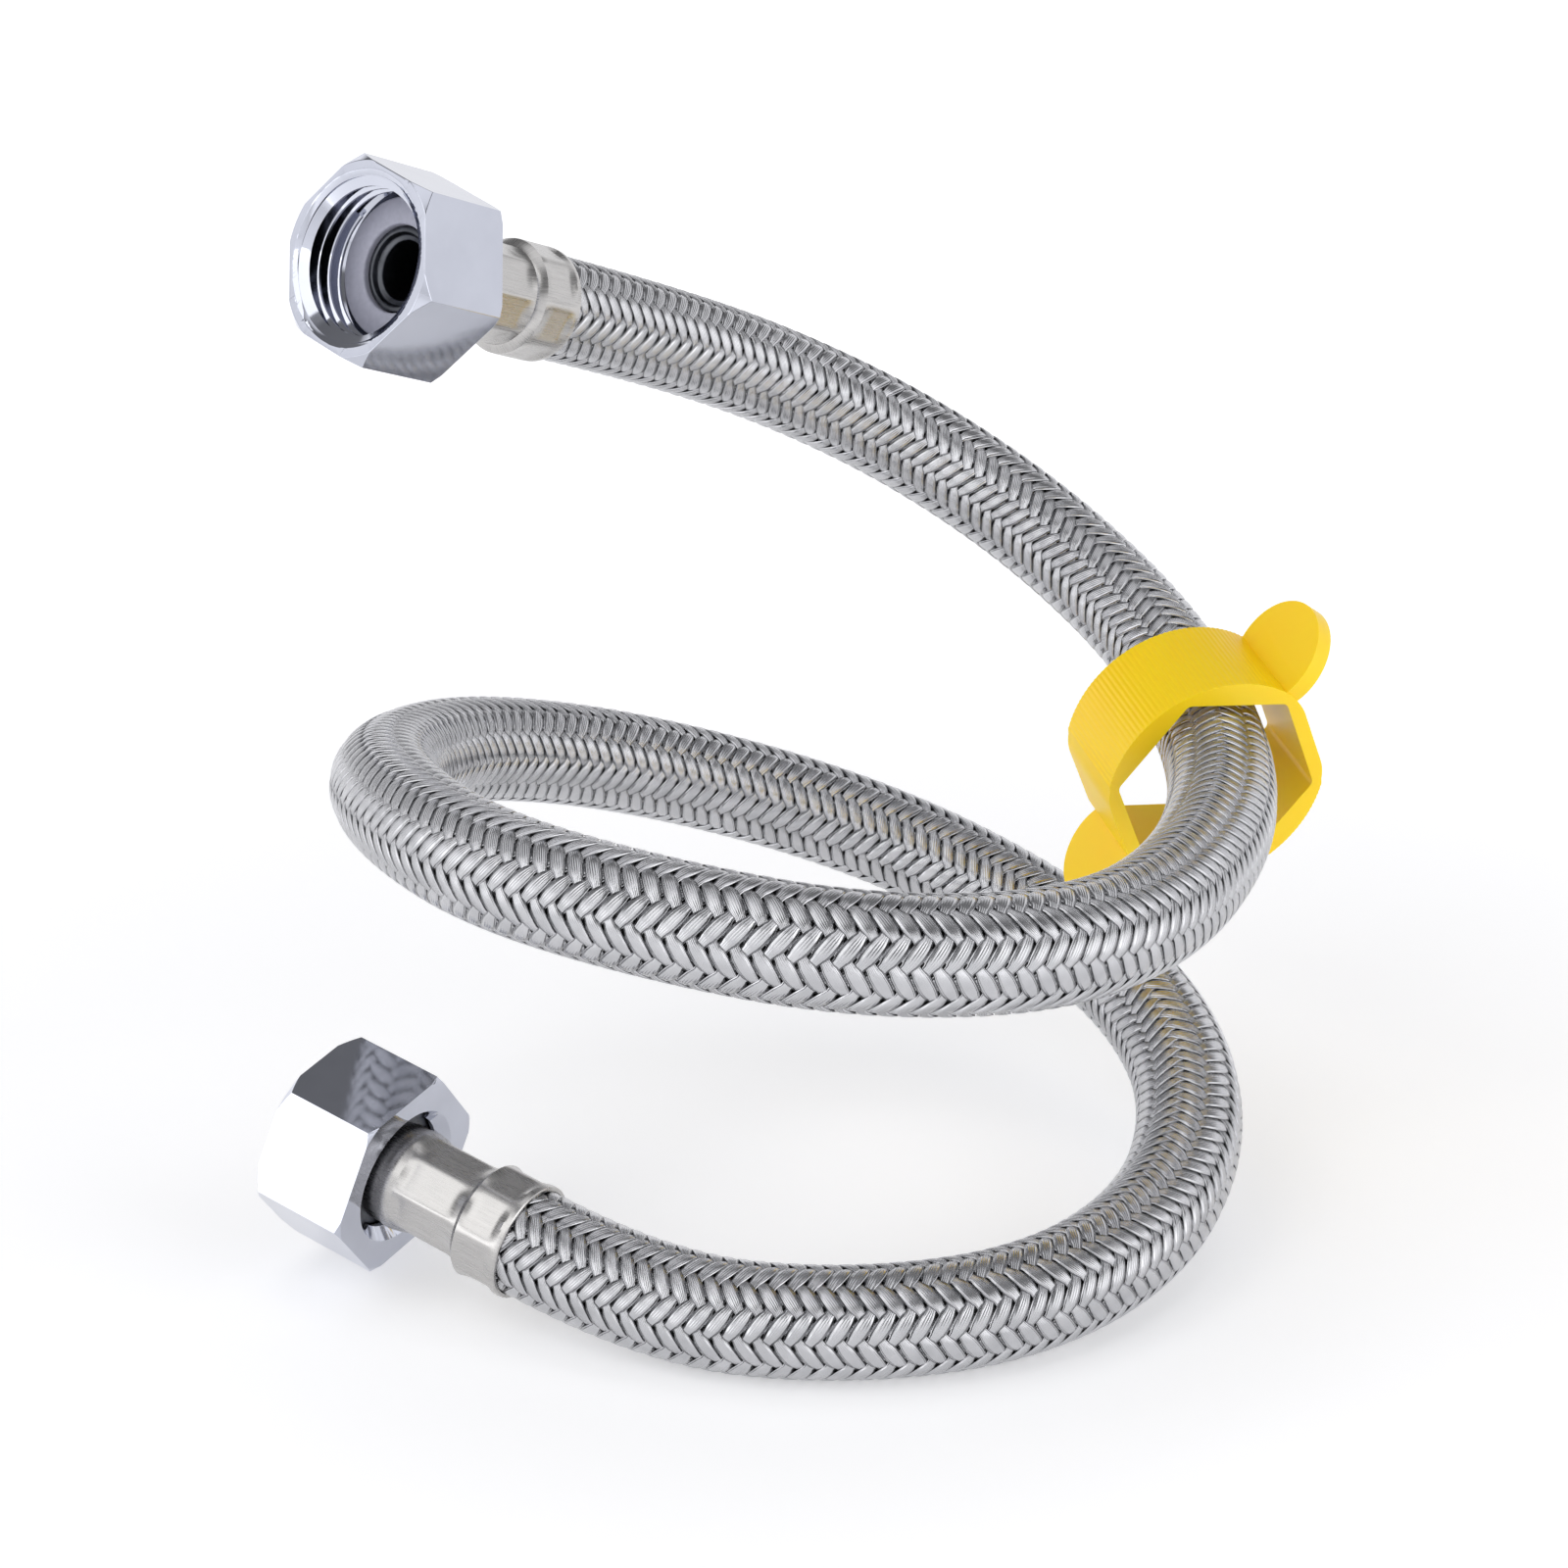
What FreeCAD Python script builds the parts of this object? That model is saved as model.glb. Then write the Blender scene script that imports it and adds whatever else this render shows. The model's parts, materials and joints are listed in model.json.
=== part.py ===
import FreeCAD, Part
import math
import os

V = FreeCAD.Vector

# Braided stainless supply line with a G1/2 swivel nut at each end and a captive hand wrench.
# Millimetres, +Z up. The lowest turn of the hose lies on the floor, z = 0.

# Hose
hose_od = 14.0            # over the braid
braid_wall = 0.8          # two crossing layers of wire
tube_bore = 8.0           # water way of the rubber tube
# Centre line of the hose from the lower ferrule's mouth to the upper ferrule's mouth: about one and
# three quarter turns that climb as a spiral, with the first turn on the floor.
route = [
    (-34.4, -31.1, 10.85), (-19, -41, 7), (5, -46, 7), (29, -39, 7), (46, -20, 9), (52, 4, 15), (45, 26, 22),
    (27, 41, 30), (4, 46, 39), (-24, 40, 49), (-44, 24, 57), (-53, 3, 62), (-52, -21, 66), (-39, -46, 67),
    (-18, -60, 66), (5, -64, 63), (27, -56, 60), (42, -38, 58), (52, -11, 58), (54, 15, 60), (48, 39, 67),
    (34, 56, 77), (16, 63, 88), (-3, 61, 98), (-21, 50, 107), (-35.05, 33.8, 114.55),
]
arc_share = 0.45          # of the shorter run beside each corner, taken by the tangent arc

# Swivel nut, G1/2 female
nut_length = 14.0
thread_major = 20.955     # G1/2, 14 threads to the inch
thread_pitch = 1.814
thread_grooves = 3
thread_flank = 27.5       # degrees, half the Whitworth angle
thread_depth_share = 0.6403  # Whitworth depth, of the pitch
nut_wall = 1.27           # from the thread's roots to the flats
mouth_chamfer = 0.72      # how far the mouth's lead-in opens past the thread's major radius
lead_in_slope = 0.6       # depth of the lead-in per radius
relief = 0.25             # radial, of the plain bore behind the thread
mouth_face_spread = 0.55  # of the round face past the flats, left by the 45 degree chamfer of the mouth end
back_face_spread = 1.05   # of the round face past the flats, left by the shallow chamfer of the back end
back_chamfer_slope = 0.58
rear_wall = 2.0
rear_hole_clearance = 1.1  # radial, around the ferrule's neck
rear_cover = 1.0          # radial, least overlap of the rear wall on the stem's flange
rear_dish = 1.4           # radial width and depth of the dish around the rear hole
lower_nut_roll = 12.0     # degrees, about the fitting's axis
upper_nut_roll = 14.0

# Washer
washer_bore = 11.2
washer_thickness = 2.8
washer_clearance = 0.15   # radial, in the thread's minor diameter

# Stem: spigot in the washer, flange, body inside the ferrule's neck, barbed tail inside the tube
flange_thickness = 2.0
flange_clearance = 0.4    # radial, in the nut
nut_play = 0.2            # axial gap between the flange and the nut's rear wall
stem_bore = 6.0
spigot_length = 2.2       # of the stem's ring that stands inside the washer
spigot_clearance = 0.2    # radial, in the washer's bore
stem_mouth = 7.6          # the bore narrows from here
stem_taper = 8.0          # over this depth
barb_pitch = 2.4
barb_count = 3
barb_depth = 0.35

# Ferrule
ferrule_wall = 0.6
neck_od = 13.0
neck_length = 14.6        # from the flange to the step
step_length = 0.6
sleeve_length = 6.8
collar_width = 2.4        # plain band of the neck that shows behind the nut
crimp_jaws = 8
crimp_depth = 0.2
crimp_inset = 1.1         # plain band left at each end of a crimped stretch
shoulder_cover = 0.3      # radial, least overlap of the ferrule's inner shoulder on the tube's end

# Hand wrench
wrench_clearance = 1.1    # of the hexagon socket over the nut, across flats
wrench_wall = 1.9
wrench_width = 14.5
wrench_corner = 7.0       # outer corner radius
wrench_grip = 15.5        # radius of the two round grips, each from an ear over the next third of a turn
socket_corner = 1.0
ear_radius = 7.4
ear_thickness = 2.4
ear_reach = 1.2           # from the ring's outer corner to the centre of the ear's round
wrench_gap = 1.1          # between the hose and the flat that hangs on it
wrench_hang_point = V(52.75, 17.97, 61.19)  # on the hose's centre line
wrench_drop = V(-1.45, 0.53, -3.89)         # from there towards the ring's centre
wrench_axis = V(0.31, -0.92, -0.24)
ear_direction = V(0.61, 0, 0.79)

# Worked out from the above
hose_radius = hose_od / 2
tube_radius = hose_radius - braid_wall
thread_depth = thread_depth_share * thread_pitch
thread_minor = thread_major - 2 * thread_depth
nut_across_flats = thread_major + 2 * nut_wall
socket = nut_across_flats + wrench_clearance
wrench_hang = socket / 2 - hose_radius - wrench_gap
wrench_centre = wrench_hang_point + wrench_drop.normalize() * wrench_hang
stem_radius = min(neck_od / 2 - ferrule_wall, tube_radius - shoulder_cover)
flange_radius = thread_minor / 2 - flange_clearance
rear_hole = min(neck_od / 2 + rear_hole_clearance, flange_radius - rear_cover)
rear_wall_z = nut_length - rear_wall
flange_back = rear_wall_z - nut_play
flange_face = flange_back - flange_thickness
washer_face = flange_face - washer_thickness
step_z = flange_back + neck_length
seat_z = step_z + step_length            # where the hose's cut end sits in the sleeve
sleeve_end = seat_z + sleeve_length      # the ferrule's mouth, where the hose comes out
grip = sleeve_end - seat_z

os.makedirs("parts", exist_ok=True)


def revolved(points):
    """Solid of revolution about Z from (radius, z) corners."""
    corners = [V(radius, 0, z) for radius, z in points]
    face = Part.Face(Part.makePolygon(corners + corners[:1]))
    return face.revolve(V(0, 0, 0), V(0, 0, 1), 360)


def prism(sides, across_flats, height, corner=0.0, turn=0.0):
    """Upright regular prism from z = 0, its first corner at angle turn (degrees)."""
    radius = across_flats / 2 / math.cos(math.pi / sides)
    points = []
    for k in range(sides + 1):
        angle = math.radians(turn) + 2 * math.pi * k / sides
        points.append(V(radius * math.cos(angle), radius * math.sin(angle), 0))
    solid = Part.Face(Part.makePolygon(points)).extrude(V(0, 0, height))
    if corner:
        upright = [e for e in solid.Edges if abs(e.tangentAt(e.FirstParameter).z) > 0.99]
        solid = solid.makeFillet(corner, upright)
    return solid


def place(solid, origin, axis, side=None):
    """Puts a piece drawn about Z at origin, its Z along axis and its X towards side."""
    axis = V(axis).normalize()
    if side is None:
        side = V(0, 0, 1).cross(axis)
    side = (side - axis * side.dot(axis)).normalize()
    across = axis.cross(side)
    matrix = FreeCAD.Matrix(side.x, across.x, axis.x, origin.x,
                            side.y, across.y, axis.y, origin.y,
                            side.z, across.z, axis.z, origin.z,
                            0, 0, 0, 1)
    solid.Placement = FreeCAD.Placement(matrix)
    return solid


def nut(roll):
    """Hexagon nut from its mouth at z = 0: chamfered ends, thread bore, rear wall with a dished hole."""
    half = nut_across_flats / 2
    corner = half / math.cos(math.pi / 6) + 1
    face = half + mouth_face_spread
    back_face = half + back_face_spread
    back_rise = (corner - back_face) * back_chamfer_slope
    envelope = revolved([
        (0, 0), (face, 0), (corner, corner - face),
        (corner, nut_length - back_rise), (back_face, nut_length), (0, nut_length),
    ])
    body = prism(6, nut_across_flats, nut_length, turn=roll).common(envelope)
    minor = thread_minor / 2
    mouth = thread_major / 2 + mouth_chamfer
    flank = thread_depth * math.tan(math.radians(thread_flank))
    flat = thread_pitch / 2 - flank      # width of a crest, and of a groove's floor
    start = (mouth - minor) * lead_in_slope
    profile = [(0, -1), (mouth + 1 / lead_in_slope, -1), (minor, start)]
    for k in range(thread_grooves):
        z = start + k * thread_pitch + flat
        profile += [(minor, z), (minor + thread_depth, z + flank), (minor + thread_depth, z + flank + flat),
                    (minor, z + 2 * flank + flat)]
    end = start + thread_grooves * thread_pitch + flat
    profile += [(minor, end), (minor + relief, end), (minor + relief, rear_wall_z), (rear_hole, rear_wall_z),
                (rear_hole, nut_length - rear_dish), (rear_hole + rear_dish + 1, nut_length + 1), (0, nut_length + 1)]
    return body.cut(revolved(profile))


def washer():
    outer = thread_minor / 2 - washer_clearance
    return revolved([(washer_bore / 2, washer_face), (outer, washer_face),
                     (outer, flange_face), (washer_bore / 2, flange_face)])


def stem():
    """Spigot in the washer, flange on the nut's rear wall, body in the ferrule's neck, barbs in the tube."""
    bore = stem_bore / 2
    tail = tube_bore / 2         # the barbs' crests fill the tube's bore
    spigot = washer_bore / 2 - spigot_clearance
    mouth_z = flange_face - spigot_length
    corners = [
        (stem_mouth / 2, mouth_z), (spigot, mouth_z), (spigot, flange_face),
        (flange_radius, flange_face), (flange_radius, flange_back),
        (stem_radius, flange_back), (stem_radius, seat_z), (tail, seat_z),
    ]
    for k in range(barb_count):
        start = seat_z + 0.6 + k * barb_pitch
        corners += [(tail, start), (tail - barb_depth, start), (tail, start + barb_pitch - 0.4)]
    end = seat_z + 0.6 + barb_count * barb_pitch
    corners += [(tail, end), (bore, end), (bore, mouth_z + stem_taper)]
    return revolved(corners)


def crimp(solid, radius, low, high):
    """Presses a ring of flats into a round stretch."""
    band = Part.makeCylinder(radius + 1, high - low, V(0, 0, low))
    flats = prism(crimp_jaws, 2 * (radius - crimp_depth), high - low)
    flats.translate(V(0, 0, low))
    return solid.cut(band.cut(flats))


def ferrule():
    """Stepped sleeve: the neck grips the stem's body, the wider mouth grips the braid."""
    neck = neck_od / 2
    sleeve = hose_radius + ferrule_wall
    nose = ferrule_wall / 2
    solid = revolved([
        (stem_radius, flange_back), (neck - nose, flange_back), (neck, flange_back + nose), (neck, step_z),
        (sleeve, seat_z), (sleeve, sleeve_end), (hose_radius, sleeve_end), (hose_radius, seat_z),
        (stem_radius, seat_z),
    ])
    solid = crimp(solid, neck, nut_length + collar_width, step_z - crimp_inset)
    return crimp(solid, sleeve, seat_z + crimp_inset, sleeve_end - crimp_inset)


def hand_wrench():
    """Hexagon socket ring with two round grips and a round ear on two opposite corners."""
    outer = socket + 2 * wrench_wall
    low = -wrench_width / 2
    ring = prism(6, outer, wrench_width, corner=wrench_corner)
    hole = prism(6, socket, wrench_width + 2, corner=socket_corner)
    ring.translate(V(0, 0, low))
    for turn in (0, 180):
        grip_sector = Part.makeCylinder(wrench_grip, wrench_width, V(0, 0, low), V(0, 0, 1), 120)
        grip_sector.rotate(V(0, 0, 0), V(0, 0, 1), turn)
        ring = ring.fuse(grip_sector)
    hole.translate(V(0, 0, low - 1))
    corner_radius = outer / 2 / math.cos(math.pi / 6)
    ear_centre = corner_radius + ear_reach
    root = socket / 2 + wrench_wall / 2
    for sign in (1, -1):
        disc = Part.makeCylinder(ear_radius, ear_thickness, V(sign * ear_centre, ear_thickness / 2, 0), V(0, -1, 0))
        web = Part.makeBox(ear_centre - root, ear_thickness, 2 * ear_radius - 1.2,
                           V(root if sign > 0 else -ear_centre, -ear_thickness / 2, -ear_radius + 0.6))
        ring = ring.fuse(disc.fuse(web))
    return ring.cut(hole).removeSplitter()


def hose_path():
    """Straight runs joined by tangent arcs, with a straight grip inside each ferrule."""
    points = [V(*p) for p in route]
    start = points[0] + (points[0] - points[1]).normalize() * grip
    end = points[-1] + (points[-1] - points[-2]).normalize() * grip
    edges = []
    radii = []
    last = start
    length = 0.0
    for before, corner, after in zip(points, points[1:], points[2:]):
        back = before - corner
        ahead = after - corner
        reach = arc_share * min(back.Length, ahead.Length)
        back.normalize()
        ahead.normalize()
        half_turn = (math.pi - back.getAngle(ahead)) / 2
        radius = reach / math.tan(half_turn)
        radii.append(radius)
        first = corner + back * reach
        second = corner + ahead * reach
        inward = (back + ahead).normalize()
        middle = corner + inward * (radius / math.cos(half_turn) - radius)
        edges.append(Part.LineSegment(last, first).toShape())
        edges.append(Part.Arc(first, middle, second).toShape())
        length += (first - last).Length + 2 * half_turn * radius
        last = second
    edges.append(Part.LineSegment(last, end).toShape())
    length += (end - last).Length
    return Part.Wire(edges), radii, length


def swept(path, radius):
    start = path.OrderedVertexes[0].Point
    tangent = path.OrderedEdges[0].tangentAt(path.OrderedEdges[0].FirstParameter)
    circle = Part.Wire(Part.makeCircle(radius, start, tangent))
    return path.makePipeShell([circle], True, False)


path, radii, length = hose_path()
print("hose centre line %.1f mm between the ferrule mouths" % (length - 2 * grip))
print("bend radii", ", ".join("%.0f" % r for r in radii))
outer = swept(path, hose_radius)
middle = swept(path, tube_radius)
bore = swept(path, tube_bore / 2)
for name, solid, radius in (("outer", outer, hose_radius), ("tube", middle, tube_radius), ("bore", bore, tube_bore / 2)):
    print(name, "volume over section times length %.4f" % (solid.Volume / (math.pi * radius ** 2 * length)))

nodes = {
    "braid_sleeve": outer.cut(middle),
    "inner_tube": middle.cut(bore),
    "hand_wrench": place(hand_wrench(), wrench_centre, wrench_axis, ear_direction),
}
ends = {
    "lower": (V(*route[0]), V(*route[1]), lower_nut_roll),
    "upper": (V(*route[-1]), V(*route[-2]), upper_nut_roll),
}
for end, (mouth, inside, roll) in ends.items():
    axis = (inside - mouth).normalize()
    origin = mouth - axis * sleeve_end
    print(end, "nut mouth (%.3f, %.3f, %.3f) axis out (%.5f, %.5f, %.5f)" % (*origin, *(-axis)))
    for piece, solid in (("nut", nut(roll)), ("washer", washer()), ("stem", stem()), ("ferrule", ferrule())):
        nodes[end + "_" + piece] = place(solid, origin, axis)

box = FreeCAD.BoundBox()
for name, solid in nodes.items():
    solid = solid if solid.ShapeType == "Solid" else solid.Solids[0]
    assert solid.isValid(), name
    box.add(solid.optimalBoundingBox(False))
    solid.exportStep("parts/%s.step" % name)
    print(name, "volume %.0f" % solid.Volume)
print("box", [round(v, 2) for v in (box.XMin, box.XMax, box.YMin, box.YMax, box.ZMin, box.ZMax)])
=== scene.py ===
import json
import math

import bpy
import numpy as np
from mathutils import Matrix, Vector


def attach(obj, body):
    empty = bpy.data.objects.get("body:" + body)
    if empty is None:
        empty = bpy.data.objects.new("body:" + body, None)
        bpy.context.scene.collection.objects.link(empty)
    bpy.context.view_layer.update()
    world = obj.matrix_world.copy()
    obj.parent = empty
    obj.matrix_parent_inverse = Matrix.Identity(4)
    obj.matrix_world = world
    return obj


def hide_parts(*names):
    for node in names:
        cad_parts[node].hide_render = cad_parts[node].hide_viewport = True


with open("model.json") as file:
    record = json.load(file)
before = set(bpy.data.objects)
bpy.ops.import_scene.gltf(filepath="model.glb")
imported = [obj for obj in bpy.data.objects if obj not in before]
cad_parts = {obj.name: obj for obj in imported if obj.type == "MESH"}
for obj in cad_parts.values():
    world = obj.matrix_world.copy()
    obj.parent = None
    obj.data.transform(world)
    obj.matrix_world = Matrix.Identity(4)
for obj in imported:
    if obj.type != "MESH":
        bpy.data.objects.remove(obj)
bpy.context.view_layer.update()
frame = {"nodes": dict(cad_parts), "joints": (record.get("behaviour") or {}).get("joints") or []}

joints = {joint["name"]: joint for joint in frame["joints"]}
mm = 0.001
print("frame loaded:", len(frame["nodes"]), "nodes")


# Camera first: 20 degrees above the floor, looking along +Y
cameraView = {"lookAt": (-3 * mm, 14 * mm, 55.0 * mm), "elevation": 20, "distance": 490 * mm, "lens": 85.7}


def aimCamera(view):
    tilt = math.radians(view["elevation"])
    target = Vector(view["lookAt"])
    place = target + Vector((0, -math.cos(tilt), math.sin(tilt))) * view["distance"]
    bpy.ops.object.camera_add(location=place, rotation=(math.pi / 2 - tilt, 0, 0))
    camera = bpy.context.object
    camera.data.lens = view["lens"]
    camera.data.clip_start = 10 * mm
    bpy.context.scene.camera = camera


aimCamera(cameraView)
print("camera placed")


# Materials

def linearColour(hexCode):
    # sRGB hex to the linear values that the shader takes
    values = [int(hexCode[i:i + 2], 16) / 255 for i in (1, 3, 5)]
    return [v / 12.92 if v <= 0.04045 else ((v + 0.055) / 1.055) ** 2.4 for v in values] + [1]


def addNode(tree, kind, links=None, **settings):
    # settings are properties, or inputs by name; links are input: (node, output)
    node = tree.nodes.new(kind)
    for key, value in settings.items():
        if hasattr(node, key):
            setattr(node, key, value)
        else:
            node.inputs[key.replace("_", " ")].default_value = value
    for key, (source, output) in (links or {}).items():
        tree.links.new(source.outputs[output], node.inputs[key])
    return node


def newMaterial(name, **shaderSettings):
    material = bpy.data.materials.new(name)
    material.use_nodes = True
    tree = material.node_tree
    shader = tree.nodes["Principled BSDF"]
    for key, value in shaderSettings.items():
        shader.inputs[key.replace("_", " ")].default_value = value
    return material, tree, shader


def makeChromePlate():
    # Chromed brass: bright, a touch blue, mirror smooth, with the faint waviness of polished forgings
    material, tree, shader = newMaterial("chromePlate", Metallic=1.0, Roughness=0.06)
    place = addNode(tree, "ShaderNodeTexCoord")
    smears = addNode(tree, "ShaderNodeTexNoise", {"Vector": (place, "Object")}, Scale=140, Detail=3)
    tone = addNode(tree, "ShaderNodeMixRGB", {"Fac": (smears, "Fac")},
                   Color1=linearColour("#B9BCC7"), Color2=linearColour("#C9CCD7"))
    tree.links.new(tone.outputs[0], shader.inputs["Base Color"])
    haze = addNode(tree, "ShaderNodeMapRange", {0: (smears, "Fac")}, To_Min=0.035, To_Max=0.11)
    tree.links.new(haze.outputs[0], shader.inputs["Roughness"])
    waves = addNode(tree, "ShaderNodeTexNoise", {"Vector": (place, "Object")}, Scale=260, Detail=1)
    bump = addNode(tree, "ShaderNodeBump", {"Height": (waves, "Fac")}, Strength=0.05, Distance=0.1 * mm)
    tree.links.new(bump.outputs[0], shader.inputs["Normal"])
    return material


def makeBraidWire():
    # Bright-drawn stainless wire, seven side by side in each ribbon: glints along them, dark between
    material, tree, shader = newMaterial("braidedStainlessWire", Metallic=1.0, Roughness=0.24)
    uv = addNode(tree, "ShaderNodeUVMap", uv_map="UVMap")
    parts = addNode(tree, "ShaderNodeSeparateXYZ", {0: (uv, "UV")})
    # U runs 0 to 1 across the ribbon's seven wires, V along it in metres
    phase = addNode(tree, "ShaderNodeMath", {0: (parts, "X")}, operation="MULTIPLY")
    phase.inputs[1].default_value = 7 * math.pi
    wave = addNode(tree, "ShaderNodeMath", {0: (phase, 0)}, operation="SINE")
    wires = addNode(tree, "ShaderNodeMath", {0: (wave, 0)}, operation="ABSOLUTE")
    bump = addNode(tree, "ShaderNodeBump", {"Height": (wires, 0)}, Strength=0.45, Distance=0.07 * mm)
    tree.links.new(bump.outputs[0], shader.inputs["Normal"])
    place = addNode(tree, "ShaderNodeTexCoord")
    patches = addNode(tree, "ShaderNodeTexNoise", {"Vector": (place, "Object")}, Scale=320, Detail=2)
    tone = addNode(tree, "ShaderNodeMixRGB", {"Fac": (patches, "Fac")},
                   Color1=linearColour("#A8A9AC"), Color2=linearColour("#D2D2D5"))
    tree.links.new(tone.outputs[0], shader.inputs["Base Color"])
    rough = addNode(tree, "ShaderNodeMapRange", {0: (patches, "Fac")}, To_Min=0.18, To_Max=0.32)
    tree.links.new(rough.outputs[0], shader.inputs["Roughness"])
    return material


def makeTubeRubber():
    # Black extruded rubber, matt, seen only through the holes of the braid
    material, tree, shader = newMaterial("blackTubeRubber", Roughness=0.62)
    place = addNode(tree, "ShaderNodeTexCoord")
    bloom = addNode(tree, "ShaderNodeTexNoise", {"Vector": (place, "Object")}, Scale=600, Detail=2)
    tone = addNode(tree, "ShaderNodeMixRGB", {"Fac": (bloom, "Fac")},
                   Color1=linearColour("#0E0E10"), Color2=linearColour("#1E1E21"))
    tree.links.new(tone.outputs[0], shader.inputs["Base Color"])
    return material


def makeWasherRubber():
    # Pale grey moulded rubber: soft sheen, fine mould grain
    material, tree, shader = newMaterial("greyWasherRubber", Roughness=0.5)
    place = addNode(tree, "ShaderNodeTexCoord")
    grain = addNode(tree, "ShaderNodeTexNoise", {"Vector": (place, "Object")}, Scale=1500, Detail=3)
    tone = addNode(tree, "ShaderNodeMixRGB", {"Fac": (grain, "Fac")},
                   Color1=linearColour("#9A9BAA"), Color2=linearColour("#B4B5C4"))
    tree.links.new(tone.outputs[0], shader.inputs["Base Color"])
    bump = addNode(tree, "ShaderNodeBump", {"Height": (grain, "Fac")}, Strength=0.25, Distance=0.05 * mm)
    tree.links.new(bump.outputs[0], shader.inputs["Normal"])
    return material


def makeStemSteelWithPaintedShade():
    # Turned steel insert, greyer and duller than the nut, with fine turning lines. Its colour is also kept
    # far darker than bare steel, as painted shade for the recess inside the washer and nut where it sits.
    material, tree, shader = newMaterial("turnedStemSteelPaintedShade", Metallic=1.0, Roughness=0.3)
    place = addNode(tree, "ShaderNodeTexCoord")
    grain = addNode(tree, "ShaderNodeTexNoise", {"Vector": (place, "Object")}, Scale=900, Detail=4)
    # painted shade: near-black steel tones stand in for the shade in the bore and the gaps round the stem
    tone = addNode(tree, "ShaderNodeMixRGB", {"Fac": (grain, "Fac")},
                   Color1=linearColour("#3C3E42"), Color2=linearColour("#5C5E63"))
    tree.links.new(tone.outputs[0], shader.inputs["Base Color"])
    rough = addNode(tree, "ShaderNodeMapRange", {0: (grain, "Fac")}, To_Min=0.22, To_Max=0.38)
    tree.links.new(rough.outputs[0], shader.inputs["Roughness"])
    return material


def makeFerruleSteel():
    # Stainless sheet, drawn into a cup and crimped: satin, slightly warm, fine lines along the draw
    material, tree, shader = newMaterial("crimpedFerruleSteel", Metallic=1.0, Roughness=0.28)
    uv = addNode(tree, "ShaderNodeUVMap", uv_map="UVMap")
    stretch = addNode(tree, "ShaderNodeMapping", {"Vector": (uv, "UV")}, Scale=(1, 0.06, 1))
    lines = addNode(tree, "ShaderNodeTexNoise", {"Vector": (stretch, 0)}, Scale=4200, Detail=3)
    tone = addNode(tree, "ShaderNodeMixRGB", {"Fac": (lines, "Fac")},
                   Color1=linearColour("#A5A4A3"), Color2=linearColour("#CBC9C7"))
    tree.links.new(tone.outputs[0], shader.inputs["Base Color"])
    rough = addNode(tree, "ShaderNodeMapRange", {0: (lines, "Fac")}, To_Min=0.2, To_Max=0.36)
    tree.links.new(rough.outputs[0], shader.inputs["Roughness"])
    bump = addNode(tree, "ShaderNodeBump", {"Height": (lines, "Fac")}, Strength=0.12, Distance=0.04 * mm)
    tree.links.new(bump.outputs[0], shader.inputs["Normal"])
    return material


def makeYellowPlastic():
    # Injection-moulded polypropylene: satin, a little light passes into it, faint flow marks
    material, tree, shader = newMaterial("yellowPolypropylene", Roughness=0.38, IOR=1.49)
    shader.inputs["Subsurface Weight"].default_value = 0.25
    shader.inputs["Subsurface Radius"].default_value = (1.0, 0.6, 0.1)
    shader.inputs["Subsurface Scale"].default_value = 1.2 * mm
    place = addNode(tree, "ShaderNodeTexCoord")
    flow = addNode(tree, "ShaderNodeTexNoise", {"Vector": (place, "Object")}, Scale=70, Detail=3)
    tone = addNode(tree, "ShaderNodeMixRGB", {"Fac": (flow, "Fac")},
                   Color1=linearColour("#FFCC00"), Color2=linearColour("#FFDD08"))
    tree.links.new(tone.outputs[0], shader.inputs["Base Color"])
    grain = addNode(tree, "ShaderNodeTexNoise", {"Vector": (place, "Object")}, Scale=2600, Detail=2)
    bump = addNode(tree, "ShaderNodeBump", {"Height": (grain, "Fac")}, Strength=0.12, Distance=0.04 * mm)
    tree.links.new(bump.outputs[0], shader.inputs["Normal"])
    return material


finishes = {
    "chrome_plate": makeChromePlate(),
    "braid_wire": makeBraidWire(),
    "tube_rubber": makeTubeRubber(),
    "washer_rubber": makeWasherRubber(),
    "stem_steel": makeStemSteelWithPaintedShade(),
    "ferrule_steel": makeFerruleSteel(),
    "yellow_plastic": makeYellowPlastic(),
}
print("materials made:", len(finishes))


# Shared modelling steps

def deselectAll():
    if bpy.context.object and bpy.context.object.mode != "OBJECT":
        bpy.ops.object.mode_set(mode="OBJECT")
    bpy.ops.object.select_all(action="DESELECT")


def makeActive(piece):
    deselectAll()
    piece.select_set(True)
    bpy.context.view_layer.objects.active = piece


def applyModifier(piece, kind, **settings):
    makeActive(piece)
    modifier = piece.modifiers.new(kind.title(), kind)
    for key, value in settings.items():
        setattr(modifier, key, value)
    bpy.ops.object.modifier_apply(modifier=modifier.name)


def applyBoolean(piece, cutter, operation):
    applyModifier(piece, "BOOLEAN", object=cutter, operation=operation, solver="EXACT")
    bpy.data.objects.remove(cutter)


def joinPieces(piece, *others):
    makeActive(piece)
    for other in others:
        other.select_set(True)
    bpy.ops.object.join()


def smoothShade(piece, angle=30):
    makeActive(piece)
    bpy.ops.object.shade_smooth_by_angle(angle=math.radians(angle))


def meshPiece(name, points, edges=(), faces=()):
    mesh = bpy.data.meshes.new(name)
    mesh.from_pydata([tuple(p) for p in points], edges, faces)
    piece = bpy.data.objects.new(name, mesh)
    bpy.context.collection.objects.link(piece)
    return piece


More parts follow.
